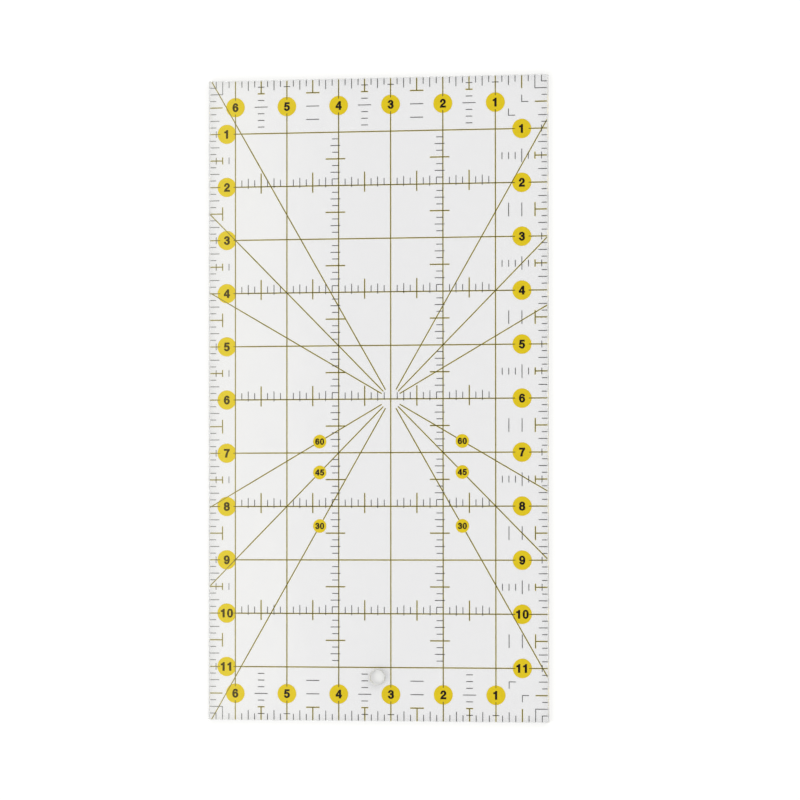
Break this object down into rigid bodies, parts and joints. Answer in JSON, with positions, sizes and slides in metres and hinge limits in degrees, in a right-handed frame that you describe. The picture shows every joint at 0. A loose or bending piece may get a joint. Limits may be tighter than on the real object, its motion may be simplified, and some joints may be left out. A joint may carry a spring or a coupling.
{
  "type": "quilting ruler",
  "caption": "Clear acrylic quilting ruler with a yellow and black inch grid, angle lines and a hanging hole, printed on its back face.",
  "frame": {"origin": "centre of the outline on the plane the ruler rests on, which is the outer side of the print", "axes": "+X to the right and +Y to the top edge as the numbers read, +Z out of the face that is read"},
  "size_m": [0.165, 0.3048, 0.003],
  "materials": {
    "clear_acrylic": "gloss",
    "black_ink": "satin",
    "yellow_ink": "satin"
  },
  "bodies": {
    "root": {"acrylic_sheet": "clear_acrylic", "angle_30_lines_black": "black_ink", "angle_30_lines_yellow": "yellow_ink", "angle_45_lines_black": "black_ink", "angle_45_lines_yellow": "yellow_ink", "angle_60_lines_black": "black_ink", "angle_60_lines_yellow": "yellow_ink", "angle_discs_yellow": "yellow_ink", "angle_numbers_black": "black_ink", "column_lines_black": "black_ink", "column_lines_yellow": "yellow_ink", "column_scales_black": "black_ink", "column_scales_yellow": "yellow_ink", "corner_marks_black": "black_ink", "cross_bars_black": "black_ink", "edge_ticks_bottom_black": "black_ink", "edge_ticks_left_black": "black_ink", "edge_ticks_right_black": "black_ink", "edge_ticks_top_black": "black_ink", "half_marks_bottom_black": "black_ink", "half_marks_bottom_yellow": "yellow_ink", "half_marks_left_black": "black_ink", "half_marks_left_yellow": "yellow_ink", "half_marks_right_black": "black_ink", "half_marks_right_yellow": "yellow_ink", "half_marks_top_black": "black_ink", "half_marks_top_yellow": "yellow_ink", "inch_discs_bottom_yellow": "yellow_ink", "inch_discs_left_yellow": "yellow_ink", "inch_discs_right_yellow": "yellow_ink", "inch_discs_top_yellow": "yellow_ink", "inch_numbers_bottom_black": "black_ink", "inch_numbers_left_black": "black_ink", "inch_numbers_right_black": "black_ink", "inch_numbers_top_black": "black_ink", "ladder_dashes_black": "black_ink", "row_lines_black": "black_ink", "row_lines_yellow": "yellow_ink", "row_scales_black": "black_ink", "row_scales_yellow": "yellow_ink"}
  },
  "joints": []
}
